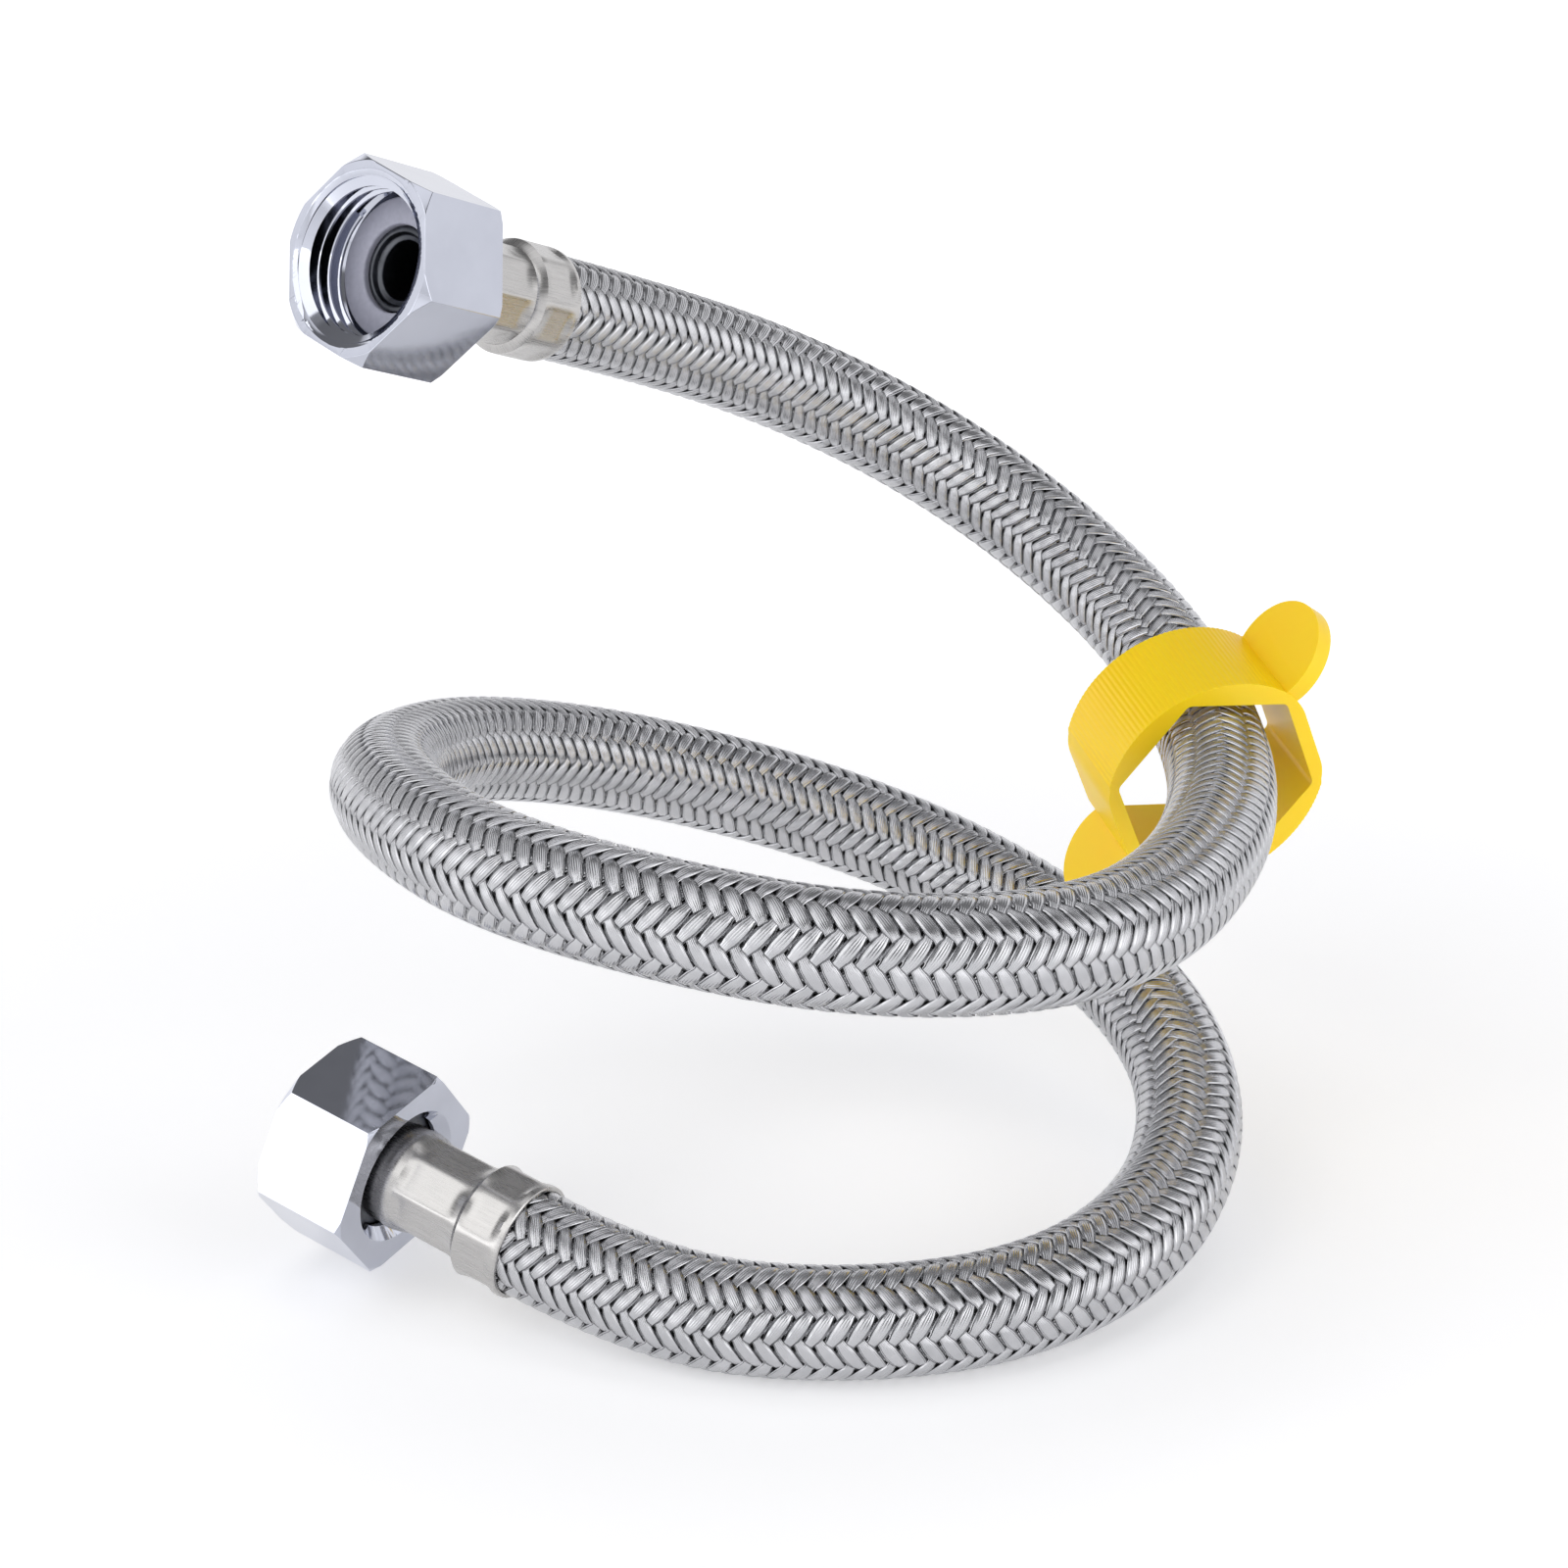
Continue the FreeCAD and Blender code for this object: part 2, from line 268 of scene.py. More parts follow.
def spinOutline(name, outline, steps=96):
    # closed outline of (radius, height) in millimetres, spun about Z into a solid
    count = len(outline)
    points = [(radius * mm, 0, height * mm) for radius, height in outline]
    piece = meshPiece(name, points, [(i, (i + 1) % count) for i in range(count)])
    makeActive(piece)
    bpy.ops.object.mode_set(mode="EDIT")
    bpy.ops.mesh.select_all(action="SELECT")
    bpy.ops.mesh.spin(steps=steps, angle=2 * math.pi, center=(0, 0, 0), axis=(0, 0, 1))
    bpy.ops.mesh.select_all(action="SELECT")
    bpy.ops.mesh.remove_doubles(threshold=0.002 * mm)
    bpy.ops.mesh.normals_make_consistent(inside=False)
    bpy.ops.object.mode_set(mode="OBJECT")
    return piece


def finishPiece(piece, slot, body, nodes=(), matrix=None):
    # the place goes into the mesh, so the finished object stays at the origin
    if matrix is not None:
        piece.data.transform(matrix)
        piece.data.update()
    piece.data.materials.clear()
    piece.data.materials.append(finishes[slot])
    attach(piece, body)
    if nodes:
        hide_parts(*nodes)
    return piece


# Hose: one smooth spline from the lower ferrule's mouth to the upper one's, with the rubber tube as its
# round section and twenty-four flat ribbons of wire braided over it, two over and two under.
hoseRoute = [
    (-34.4, -31.1, 10.85), (-19, -41, 7), (5, -46, 7), (29, -39, 7), (46, -20, 9), (52, 4, 15), (45, 26, 22),
    (27, 41, 30), (4, 46, 39), (-24, 40, 49), (-44, 24, 57), (-53, 3, 62), (-52, -21, 66), (-39, -46, 67),
    (-18, -60, 66), (5, -64, 63), (27, -56, 60), (42, -38, 58), (52, -11, 58), (54, 15, 60), (48, 39, 67),
    (34, 56, 77), (16, 63, 88), (-3, 61, 98), (-21, 50, 107), (-35.05, 33.8, 114.55),
]
hose = {
    "radius": 7.0 * mm,            # over the wires
    "tubeRadius": 6.25 * mm,
    "carriers": 12,                # ribbons wound each way
    "pitch": 2.2 * mm,             # along the hose, from one ribbon to the next of the same hand
    "ribbonWidth": 1.24 * mm,      # where it slips under the next one
    "ribbonSpread": 0.6 * mm,      # extra width in the middle of its run over or under two others
    "ribbonThickness": 0.26 * mm,
    "weaveDepth": 0.16 * mm,       # how far a ribbon rises and dips from the middle of the braid
    "insideFerrule": 6.3 * mm,     # braid that runs on under each ferrule
    "stepsPerCrossing": 4,
    "piecesPerHand": 2,
}


def makeRubberTube():
    curve = bpy.data.curves.new("rubberTube", "CURVE")
    curve.dimensions = "3D"
    spline = curve.splines.new("NURBS")
    spline.points.add(len(hoseRoute) - 1)
    for point, place in zip(spline.points, hoseRoute):
        point.co = (*(value * mm for value in place), 1)
    spline.order_u = 3
    spline.use_endpoint_u = True
    curve.resolution_u = 24
    tube = bpy.data.objects.new("rubberTube", curve)
    bpy.context.collection.objects.link(tube)
    return tube


def readSpline(tube):
    # the spline's own points, from the curve while it has no bevel
    mesh = bpy.data.meshes.new_from_object(tube.evaluated_get(bpy.context.evaluated_depsgraph_get()))
    points = np.array([vertex.co for vertex in mesh.vertices])
    bpy.data.meshes.remove(mesh)
    return points


def evenLine(points, step, overrun):
    # evenly spaced points, run on straight at both ends, with a side and an up that never twist
    steps = np.linalg.norm(np.diff(points, axis=0), axis=1)
    along = np.concatenate([[0], np.cumsum(steps)])
    startWay = (points[0] - points[1]) / steps[0]
    endWay = (points[-1] - points[-2]) / steps[-1]
    points = np.vstack([points[0] + startWay * overrun, points, points[-1] + endWay * overrun])
    along = np.concatenate([[-overrun], along, [along[-1] + overrun]])
    even = np.arange(-overrun, along[-1], step)
    line = np.stack([np.interp(even, along, points[:, k]) for k in range(3)], axis=1)
    smooth = np.ones(9) / 9
    for k in range(3):
        padded = np.pad(line[:, k], 4, mode="reflect", reflect_type="odd")
        line[:, k] = np.convolve(padded, smooth, "valid")
    ways = np.gradient(line, axis=0)
    ways /= np.linalg.norm(ways, axis=1)[:, None]
    side = np.cross(ways[0], (0, 0, 1))
    sides = []
    for way in ways:
        side = side - way * side.dot(way)
        side /= np.linalg.norm(side)
        sides.append(side)
    sides = np.array(sides)
    return even, line, sides, np.cross(ways, sides)


def ribbonSection(settings):
    # (share of the half width, height, place across from 0 to 1) round the ribbon: crowned on top, flat below
    thick = settings["ribbonThickness"]
    return [(-1.0, 0.0, 0.0), (-0.42, 0.42 * thick, 0.29), (0.42, 0.42 * thick, 0.71),
            (1.0, 0.0, 1.0), (0.8, -0.5 * thick, 0.9), (-0.8, -0.5 * thick, 0.1)]


def weave(across, hand, carrier):
    # height of a ribbon at a place counted in crossings, from -1 below to +1 above
    if hand > 0:
        turn = across + 2 * carrier - 0.5
        lift = np.cos(turn * math.pi / 2)
    else:
        turn = 2 * carrier - across - 0.5
        lift = -np.cos(turn * math.pi / 2)
    return np.tanh(1.9 * lift) / math.tanh(1.9)


def makeRibbons(name, hand, carriers, settings, even, line, sides, ups):
    pitch = settings["pitch"]
    lead = pitch * settings["carriers"]
    middle = settings["radius"] - 0.42 * settings["ribbonThickness"] - settings["weaveDepth"]
    lean = math.atan2(2 * math.pi * middle, lead)
    step = pitch / 2 / settings["stepsPerCrossing"]
    stations = np.arange(even[0] + 1 * mm, even[-1] - 1 * mm, step)
    section = ribbonSection(settings)
    rows = len(section)
    points, faces = [], []
    for carrier in carriers:
        base = len(points) * len(stations) * rows
        rise = weave(stations / (pitch / 2), hand, carrier)
        lift = rise * settings["weaveDepth"]
        half = (settings["ribbonWidth"] + settings["ribbonSpread"] * rise * rise) / 2
        ring = []
        for share, height, _ in section:
            offset = half * share
            along = stations - hand * offset * math.sin(lean)
            angle = 2 * math.pi * (carrier / settings["carriers"] + hand * stations / lead)
            angle = angle + offset * math.cos(lean) / middle
            reach = (middle + lift + height)[:, None]
            centre = np.stack([np.interp(along, even, line[:, k]) for k in range(3)], axis=1)
            side = np.stack([np.interp(along, even, sides[:, k]) for k in range(3)], axis=1)
            up = np.stack([np.interp(along, even, ups[:, k]) for k in range(3)], axis=1)
            ring.append(centre + reach * (np.cos(angle)[:, None] * side + np.sin(angle)[:, None] * up))
        points.append(np.stack(ring, axis=1).reshape(-1, 3))
        first = np.arange(len(stations) - 1)[:, None] * rows + np.arange(rows)[None, :] + base
        second = np.arange(len(stations) - 1)[:, None] * rows + (np.arange(rows)[None, :] + 1) % rows + base
        corners = [first, second, second + rows, first + rows]
        faces.append(np.stack(corners if hand > 0 else corners[::-1], axis=2).reshape(-1, 4))
    piece = meshPiece(name, [])
    mesh = piece.data
    allPoints = np.concatenate(points)
    allFaces = np.concatenate(faces)
    mesh.vertices.add(len(allPoints))
    mesh.vertices.foreach_set("co", allPoints.astype(np.float32).ravel())
    mesh.loops.add(allFaces.size)
    mesh.loops.foreach_set("vertex_index", allFaces.astype(np.int32).ravel())
    mesh.polygons.add(len(allFaces))
    mesh.polygons.foreach_set("loop_start", (np.arange(len(allFaces)) * 4).astype(np.int32))
    mesh.update(calc_edges=True)
    mesh.uv_layers.new(name="UVMap")
    across = np.array([place for _, _, place in section])
    uAll = np.tile(across, len(allPoints) // rows)
    vAll = np.repeat(np.tile(stations, len(points)), rows)
    uv = np.stack([uAll[allFaces.ravel()], vAll[allFaces.ravel()]], axis=1)
    mesh.uv_layers["UVMap"].data.foreach_set("uv", uv.astype(np.float32).ravel())
    mesh.validate()
    mesh.polygons.foreach_set("use_smooth", np.ones(len(allFaces), dtype=bool))
    return piece


def makeHose():
    tube = makeRubberTube()
    path = readSpline(tube)
    length = float(np.linalg.norm(np.diff(path, axis=0), axis=1).sum())
    tube.data.bevel_depth = hose["tubeRadius"]
    tube.data.bevel_resolution = 4
    tube.data.use_fill_caps = True
    tube.data.materials.append(finishes["tube_rubber"])
    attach(tube, "hose")
    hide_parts("inner_tube")
    even, line, sides, ups = evenLine(path, 0.25 * mm, hose["insideFerrule"])
    share = hose["carriers"] // hose["piecesPerHand"]
    ribbons = []
    for hand, word in ((1, "Right"), (-1, "Left")):
        for part in range(hose["piecesPerHand"]):
            carriers = range(part * share, (part + 1) * share)
            name = "braid%s%d" % (word, part + 1)
            piece = makeRibbons(name, hand, carriers, hose, even, line, sides, ups)
            ribbons.append(finishPiece(piece, "braid_wire", "hose", ["braid_sleeve"]))
    print("hose made: %.0f mm of braid, %d ribbons" % (length / mm, 2 * hose["carriers"]))
    return tube, ribbons, path, length


rubberTube, braidPieces, hosePath, hoseLength = makeHose()


# Fittings are modelled about Z with the nut's mouth at zero, then placed from the nut's own joint.
fitting = {
    "mouthToJoint": 7.0,
    "neckEnd": 26.4, "seat": 27.0, "mouth": 33.8,
}


def fittingPlace(jointName):
    joint = joints[jointName]
    outward = Vector(joint["axis"]).normalized()
    inward = -outward
    origin = Vector(joint["pos_m"]) + outward * fitting["mouthToJoint"] * mm
    side = Vector((0, 0, 1)).cross(inward).normalized()
    across = inward.cross(side)
    turn = Matrix((side, across, inward)).transposed()
    return Matrix.Translation(origin) @ turn.to_4x4()


nutShape = {
    "acrossFlats": 23.5, "length": 14.0,
    "mouthFace": 12.3, "backFace": 12.8, "backSlope": 0.58,     # radii of the round end faces
    "leadIn": 11.2, "leadInSlope": 0.6, "threadRoot": 10.48, "threadCrest": 9.32,
    "threadPitch": 1.814, "threadTurns": 4.1, "threadStart": -0.6,
    "plainBore": 9.57, "plainStart": 7.2, "rearWall": 12.0,
    "rearHole": 7.6, "rearDish": 1.4, "edgeRound": 0.36,
}


def makeThread(shape):
    # one tooth, swept up the bore as a true helix
    root, crest, pitch = shape["threadRoot"] + 0.05, shape["threadCrest"], shape["threadPitch"]
    tooth = [(root, -0.75), (crest, -0.15), (crest, 0.15), (root, 0.75)]
    points = [(radius * mm, 0, (shape["threadStart"] + height) * mm) for radius, height in tooth]
    piece = meshPiece("thread", points, [(0, 1), (1, 2), (2, 3), (3, 0)])
    turns = shape["threadTurns"]
    applyModifier(piece, "SCREW", angle=2 * math.pi * turns, screw_offset=pitch * turns * mm, axis="Z",
                  steps=round(72 * turns), render_steps=round(72 * turns), use_merge_vertices=False)
    bpy.ops.object.mode_set(mode="EDIT")
    bpy.ops.mesh.select_all(action="SELECT")
    bpy.ops.mesh.fill_holes(sides=4)
    bpy.ops.mesh.normals_make_consistent(inside=False)
    bpy.ops.object.mode_set(mode="OBJECT")
    # the first turn runs out in the mouth's lead-in
    leadIn, slope = shape["leadIn"], shape["leadInSlope"]
    cone = spinOutline("leadInCone", [(0, -2), (leadIn + 2 / slope, -2), (0, leadIn * slope)])
    applyBoolean(piece, cone, "DIFFERENCE")
    return piece


def makeNut(name, roll):
    shape = nutShape
    half = shape["acrossFlats"] / 2
    corner = half / math.cos(math.pi / 6)
    beyond = corner + 1
    deselectAll()
    bpy.ops.mesh.primitive_cylinder_add(vertices=6, radius=corner * mm, depth=shape["length"] * mm,
                                        location=(0, 0, shape["length"] / 2 * mm),
                                        rotation=(0, 0, math.radians(roll - 30)))
    bpy.ops.object.transform_apply(location=True, rotation=True, scale=True)
    nut = bpy.context.object
    nut.name = name
    backRise = (beyond - shape["backFace"]) * shape["backSlope"]
    envelope = spinOutline("envelope", [
        (0, 0), (shape["mouthFace"], 0), (beyond, beyond - shape["mouthFace"]),
        (beyond, shape["length"] - backRise), (shape["backFace"], shape["length"]), (0, shape["length"]),
    ], 120)
    applyBoolean(nut, envelope, "INTERSECT")
    root, leadIn, slope = shape["threadRoot"], shape["leadIn"], shape["leadInSlope"]
    rear, dish, length = shape["rearHole"], shape["rearDish"], shape["length"]
    bore = spinOutline("bore", [
        (0, -1), (leadIn + 1 / slope, -1), (root, (leadIn - root) * slope), (root, shape["plainStart"]),
        (shape["plainBore"], shape["plainStart"] + 0.9), (shape["plainBore"], shape["rearWall"]),
        (rear, shape["rearWall"]), (rear, length - dish), (rear + dish + 1, length + 1), (0, length + 1),
    ], 120)
    applyBoolean(nut, bore, "DIFFERENCE")
    applyModifier(nut, "BEVEL", width=shape["edgeRound"] * mm, segments=3, limit_method="ANGLE",
                  angle_limit=math.radians(24))
    smoothShade(nut, 35)
    applyModifier(nut, "WEIGHTED_NORMAL", keep_sharp=True)
    thread = makeThread(shape)
    smoothShade(thread, 40)
    joinPieces(nut, thread)
    return nut


washerShape = {"bore": 5.6, "outside": 9.16, "face": 7.0, "back": 9.8, "edgeRound": 0.35}


def makeWasher(name):
    inner, outer = washerShape["bore"], washerShape["outside"]
    low, high, soft = washerShape["face"], washerShape["back"], washerShape["edgeRound"]
    piece = spinOutline(name, [(inner, low), (outer, low), (outer, high), (inner, high)])
    applyModifier(piece, "BEVEL", width=soft * mm, segments=3, limit_method="ANGLE",
                  angle_limit=math.radians(60))
    smoothShade(piece, 50)
    return piece


stemShape = {
    "flangeFace": 9.8, "flangeBack": 11.8, "flange": 8.9, "body": 5.9,
    "spigot": 5.4, "spigotFace": 7.6, "rim": 4.7,               # the ring that stands inside the washer
    "mouth": 3.8, "step": 0.8, "taper": 8.0, "bore": 3.0,       # the bore narrows over the taper's depth
    "tail": 34.8, "tailRadius": 4.0, "edgeRound": 0.18,
}


def makeStem(name):
    s = stemShape
    face, tip = s["flangeFace"], s["spigotFace"]
    piece = spinOutline(name, [
        (s["rim"], tip), (s["spigot"], tip), (s["spigot"], face), (s["flange"], face),
        (s["flange"], s["flangeBack"]), (s["body"], s["flangeBack"]), (s["body"], fitting["seat"]),
        (s["tailRadius"], fitting["seat"]), (s["tailRadius"], s["tail"]),
        (s["bore"], s["tail"]), (s["bore"], tip + s["taper"]),
        (s["mouth"], tip + s["step"] + 0.1), (s["rim"] - 0.2, tip + s["step"]),
    ])
    applyModifier(piece, "BEVEL", width=s["edgeRound"] * mm, segments=2, limit_method="ANGLE",
                  angle_limit=math.radians(30))
    smoothShade(piece, 40)
    return piece


ferruleShape = {
    "neck": 6.5, "sleeve": 7.6, "sleeveBore": 7.0, "wall": 0.6,
    "nose": 11.8, "collar": 14.0, "collarEnd": 16.6,
    "crimpJaws": 8, "crimpDepth": 0.42, "blend": 0.7,
}


def crimpAmount(height, low, high, blend):
    # 0 outside the pressed stretch, 1 inside it, with a soft shoulder
    rise = min(max((height - low) / blend, 0), 1)
    fall = min(max((high - height) / blend, 0), 1)
    share = min(rise, fall)
    return share * share * (3 - 2 * share)


def makeFerrule(name, turn):
    s = ferruleShape
    neck, sleeve, bore = s["neck"], s["sleeve"], s["neck"] - s["wall"]
    nose, step, seat, mouth = s["nose"], fitting["neckEnd"], fitting["seat"], fitting["mouth"]
    outer = [(neck - 0.35, nose), (neck - 0.08, nose + 0.15)]
    outer += [(neck + 0.02, nose + 0.5), (neck + 0.02, s["collar"])]
    # a rolled collar, then rings close together where the jaws press
    outer += [(neck + 0.2 * math.sin(math.pi * k / 6), s["collar"] + 0.4 * k) for k in range(1, 7)]
    outer += [(neck, s["collarEnd"] + 0.7 * k) for k in range(14)]
    outer += [(neck + 0.02, step - 0.1), (neck + 0.3, step + 0.05)]
    outer += [(sleeve - 0.3, seat - 0.1), (sleeve - 0.05, seat + 0.2)]
    outer += [(sleeve, seat + 0.7 + 0.65 * k) for k in range(9)]
    outer += [(sleeve - 0.02, mouth - 0.5), (sleeve - 0.06, mouth - 0.15), (sleeve - 0.22, mouth)]
    cup = s["sleeveBore"]
    inner = [(cup + 0.03, mouth), (cup, mouth - 0.2), (cup, seat), (bore, seat), (bore, nose)]
    piece = spinOutline(name, outer + inner, 96)
    wedge = 2 * math.pi / s["crimpJaws"]
    for vertex in piece.data.vertices:
        x, y, height = vertex.co.x / mm, vertex.co.y / mm, vertex.co.z / mm
        radius = math.hypot(x, y)
        angle = math.atan2(y, x) - turn
        inFlat = (angle + wedge / 2) % wedge - wedge / 2
        for base, low, high in ((neck, s["collarEnd"] - 0.1, step - 0.4), (sleeve, seat + 0.3, mouth - 0.9)):
            if abs(radius - base) > 0.05 or not low < height < high:
                continue
            amount = crimpAmount(height, low, high, s["blend"])
            flat = (base - s["crimpDepth"]) / math.cos(inFlat)
            pressed = base + (min(flat, base) - base) * amount
            vertex.co.x *= pressed / radius
            vertex.co.y *= pressed / radius
    unwrapRound(piece)
    smoothShade(piece, 32)
    return piece


def unwrapRound(piece):
    # U round the piece and V along it, both in metres, for lines that run along a turned or drawn part
    mesh = piece.data
    layer = mesh.uv_layers.new(name="UVMap")
    for polygon in mesh.polygons:
        middle = math.atan2(polygon.center.y, polygon.center.x)
        for loop in polygon.loop_indices:
            point = mesh.vertices[mesh.loops[loop].vertex_index].co
            angle = math.atan2(point.y, point.x)
            angle += 2 * math.pi * round((middle - angle) / (2 * math.pi))
            layer.data[loop].uv = (angle * ferruleShape["sleeveBore"] * mm, point.z)


ends = {
    "upper": {"joint": "upper_nut_turn", "body": "upper_swivel", "roll": 14, "crimpTurn": 0.35},
    "lower": {"joint": "lower_nut_turn", "body": "lower_swivel", "roll": 12, "crimpTurn": 0.1},
}
for end, plan in ends.items():
    place = fittingPlace(plan["joint"])
    nut = makeNut(end + "SwivelNut", plan["roll"])
    finishPiece(nut, "chrome_plate", plan["body"], [end + "_nut"], place)
    washer = finishPiece(makeWasher(end + "SealWasher"), "washer_rubber", "hose", [end + "_washer"], place)
    stem = finishPiece(makeStem(end + "HoseStem"), "stem_steel", "hose", [end + "_stem"], place)
    ferrule = makeFerrule(end + "CrimpFerrule", plan["crimpTurn"])
    finishPiece(ferrule, "ferrule_steel", "hose", [end + "_ferrule"], place)
    print(end, "fitting made")


# Hand wrench: a hexagon socket that slips over either nut, with a round ear on two opposite corners
wrench = {
    "socket": 24.6, "wall": 1.9, "width": 14.5,
    "outerRound": 7.0, "socketRound": 1.0,
    "earRadius": 7.4, "earThickness": 2.4, "earCentre": 17.6,
    "earDirection": (0.61, 0, 0.79),
    "grip": 15.5, "ribs": 46, "ribDepth": 0.04,     # two round ribbed grips, a third of a turn each
    "edgeRound": 0.22,
}


def wrenchPlace():
    joint = joints["wrench_turn"]
    axis = Vector(joint["axis"]).normalized()
    side = Vector(wrench["earDirection"])
    side = (side - axis * side.dot(axis)).normalized()
    turn = Matrix((side, axis.cross(side), axis)).transposed()
    return Matrix.Translation(Vector(joint["pos_m"])) @ turn.to_4x4()


def roundedHexagon(acrossFlats, cornerRound, spacing):
    # points round a hexagon with its first corner on +X and arcs at the corners, about evenly spaced
    inner = acrossFlats / 2 - cornerRound          # apothem of the hexagon of arc centres
    reach = inner / math.cos(math.pi / 6)
    side = reach
    points = []
    arcSteps = max(3, round(cornerRound * math.pi / 3 / spacing))
    flatSteps = max(1, round(side / spacing))
    for k in range(6):
        corner = math.radians(60 * k)
        centre = Vector((reach * math.cos(corner), reach * math.sin(corner)))
        for j in range(arcSteps):
            angle = corner - math.pi / 6 + math.pi / 3 * j / arcSteps
            points.append(centre + Vector((math.cos(angle), math.sin(angle))) * cornerRound)
        nextCorner = math.radians(60 * (k + 1))
        nextCentre = Vector((reach * math.cos(nextCorner), reach * math.sin(nextCorner)))
        normal = Vector((math.cos(corner + math.pi / 6), math.sin(corner + math.pi / 6))) * cornerRound
        for j in range(flatSteps):
            points.append(centre.lerp(nextCentre, j / flatSteps) + normal)
    return points


def gripOutline(plain):
    # the plain hexagon, with a ribbed arc over the third of a turn that follows each ear,
    # and four points to each rib
    w = wrench
    steps = 4 * w["ribs"]
    points = []
    for start in (0, 180):
        for k in range(steps + 1):
            angle = math.radians(start + 120 * k / steps)
            reach = w["grip"] - w["ribDepth"] * math.cos(math.pi * k / 2)
            points.append(Vector((math.cos(angle), math.sin(angle))) * reach)
        turns = sorted((math.degrees(math.atan2(p.y, p.x)) % 360, p.length) for p in plain)
        points += [Vector((math.cos(math.radians(turn)), math.sin(math.radians(turn)))) * reach
                   for turn, reach in turns if start + 121 < turn < start + 179]
    return points


def prismFromOutline(name, outline, low, high):
    # the outline as a face, drawn out to a prism
    points = [(p.x * mm, p.y * mm, low * mm) for p in outline]
    piece = meshPiece(name, points, [], [tuple(reversed(range(len(points))))])
    makeActive(piece)
    bpy.ops.object.mode_set(mode="EDIT")
    bpy.ops.mesh.select_all(action="SELECT")
    bpy.ops.mesh.extrude_region_move(TRANSFORM_OT_translate={"value": (0, 0, (high - low) * mm)})
    bpy.ops.mesh.select_all(action="SELECT")
    bpy.ops.mesh.normals_make_consistent(inside=False)
    bpy.ops.object.mode_set(mode="OBJECT")
    return piece


def makeEar(sign):
    w = wrench
    deselectAll()
    bpy.ops.mesh.primitive_cylinder_add(
        vertices=64, radius=w["earRadius"] * mm, depth=w["earThickness"] * mm,
        location=(sign * w["earCentre"] * mm, 0, 0), rotation=(math.pi / 2, 0, 0))
    bpy.ops.object.transform_apply(location=True, rotation=True, scale=True)
    ear = bpy.context.object
    root = w["socket"] / 2 + w["wall"] / 2
    bpy.ops.mesh.primitive_cube_add(size=1, location=(sign * (root + w["earCentre"]) / 2 * mm, 0, 0))
    web = bpy.context.object
    web.scale = ((w["earCentre"] - root) * mm, w["earThickness"] * mm, (2 * w["earRadius"] - 1.2) * mm)
    bpy.ops.object.transform_apply(location=True, rotation=True, scale=True)
    applyBoolean(ear, web, "UNION")
    return ear


def makeWrench():
    w = wrench
    half = w["width"] / 2
    outer = gripOutline(roundedHexagon(w["socket"] + 2 * w["wall"], w["outerRound"], 0.6))
    inner = roundedHexagon(w["socket"], w["socketRound"], 0.5)
    ring = prismFromOutline("handWrench", outer, -half, half)
    for sign in (1, -1):
        applyBoolean(ring, makeEar(sign), "UNION")
    applyBoolean(ring, prismFromOutline("socket", inner, -half - 1, half + 1), "DIFFERENCE")
    applyModifier(ring, "BEVEL", width=w["edgeRound"] * mm, segments=3, limit_method="ANGLE",
                  angle_limit=math.radians(60))
    smoothShade(ring, 35)
    applyModifier(ring, "WEIGHTED_NORMAL", keep_sharp=True)
    return ring


finishPiece(makeWrench(), "yellow_plastic", "wrench", ["hand_wrench"], wrenchPlace())
print("hand wrench made")


# Studio: a pale floor in a pale room, which has a darker band overhead for contrast in the metal.
# A band is the sine of its height above the horizon and its brightness. A softbox is its place,
# what it aims at and its size in metres, and its power in watts.
studio = {
    "floor": "#F4F4F5", "floorRadius": 4.0, "room": 1.0,
    "paintedGlow": (0.3, 0.55), "paintedGlowReach": (0.1, 0.45),      # painted glow: emission strength beneath the object, kept low as a painted shadow pool, and away from it
    "bands": [(0.0, 0.95), (0.38, 1.25), (0.5, 0.22), (0.86, 0.2), (0.93, 1.0), (1.0, 1.2)],
    "softboxes": {
        "keyBox": ((-0.7, -0.7, 1.0), (0, 0, 0.05), (1.1, 0.9), 5),
        "sideBox": ((-1.06, -0.56, 0.2), (-0.06, -0.01, 0.05), (0.6, 0.4), 1.0),
        "fillBox": ((0.9, -0.6, 0.5), (0, 0, 0.05), (0.8, 0.8), 2.5),
    },
}


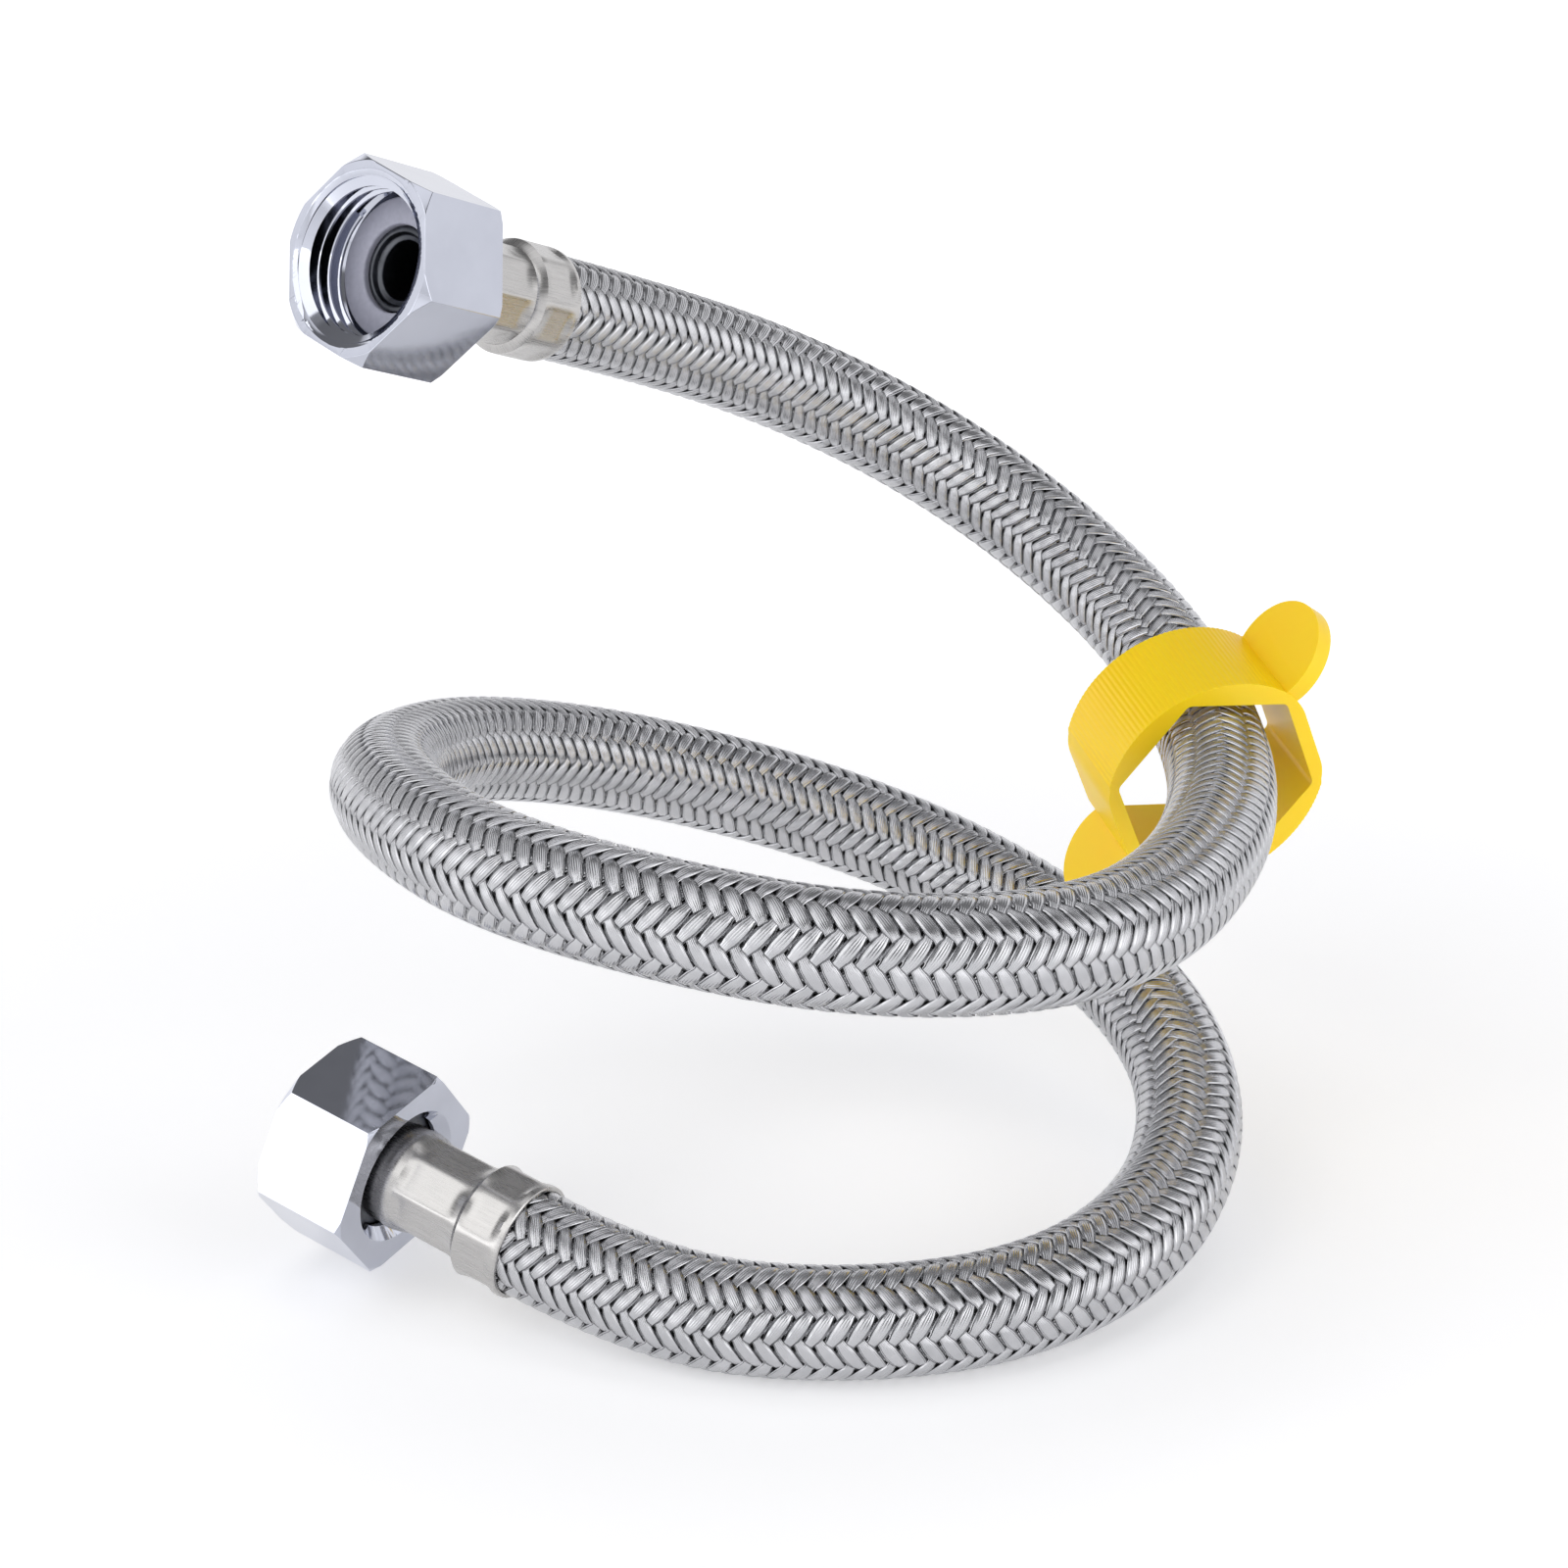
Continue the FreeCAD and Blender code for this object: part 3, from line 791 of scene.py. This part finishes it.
def makeFloor():
    deselectAll()
    bpy.ops.mesh.primitive_circle_add(vertices=96, radius=studio["floorRadius"], fill_type="NGON",
                                      location=(0, 0, -0.05 * mm))
    floor = bpy.context.object
    floor.name = "studioFloor"
    material, tree, shader = newMaterial("paleFloorPaintedGlow", Roughness=0.9)
    shader.inputs["Base Color"].default_value = linearColour(studio["floor"])
    shader.inputs["Specular IOR Level"].default_value = 0.1
    # painted glow: the floor shines by its own emission, low beneath the object as a painted shadow pool that
    # also darkens its reflection in the metal, and more so away from the object
    place = addNode(tree, "ShaderNodeTexCoord")
    distance = addNode(tree, "ShaderNodeVectorMath", {0: (place, "Object")}, operation="LENGTH")
    near, far = studio["paintedGlowReach"]
    dim, bright = studio["paintedGlow"]
    paintedGlow = addNode(tree, "ShaderNodeMapRange", {0: (distance, "Value")}, interpolation_type="SMOOTHSTEP",
                   From_Min=near, From_Max=far, To_Min=dim, To_Max=bright)
    shader.inputs["Emission Color"].default_value = (1, 1, 1, 1)
    tree.links.new(paintedGlow.outputs[0], shader.inputs["Emission Strength"])
    floor.data.materials.append(material)


def makeRoom():
    world = bpy.data.worlds.new("studioRoom")
    bpy.context.scene.world = world
    world.use_nodes = True
    tree = world.node_tree
    background = tree.nodes["Background"]
    place = addNode(tree, "ShaderNodeTexCoord")
    parts = addNode(tree, "ShaderNodeSeparateXYZ", {0: (place, "Generated")})
    ramp = addNode(tree, "ShaderNodeValToRGB", {0: (parts, "Z")})
    elements = ramp.color_ramp.elements
    while len(elements) < len(studio["bands"]):
        elements.new(0.5)
    for element, (height, light) in zip(elements, studio["bands"]):
        element.position = height
        element.color = (light, light, light * 1.02, 1)
    tree.links.new(ramp.outputs[0], background.inputs[0])
    background.inputs[1].default_value = studio["room"]


def addSoftbox(name, place, aim, size, power):
    bpy.ops.object.light_add(type="AREA", location=place)
    light = bpy.context.object
    light.name = name
    light.rotation_euler = (Vector(aim) - Vector(place)).to_track_quat("-Z", "Y").to_euler()
    light.data.shape = "RECTANGLE"
    light.data.size, light.data.size_y = size
    light.data.energy = power


makeFloor()
makeRoom()
for name, plan in studio["softboxes"].items():
    addSoftbox(name, *plan)
bpy.context.scene.view_settings.view_transform = "Standard"
print("studio set")
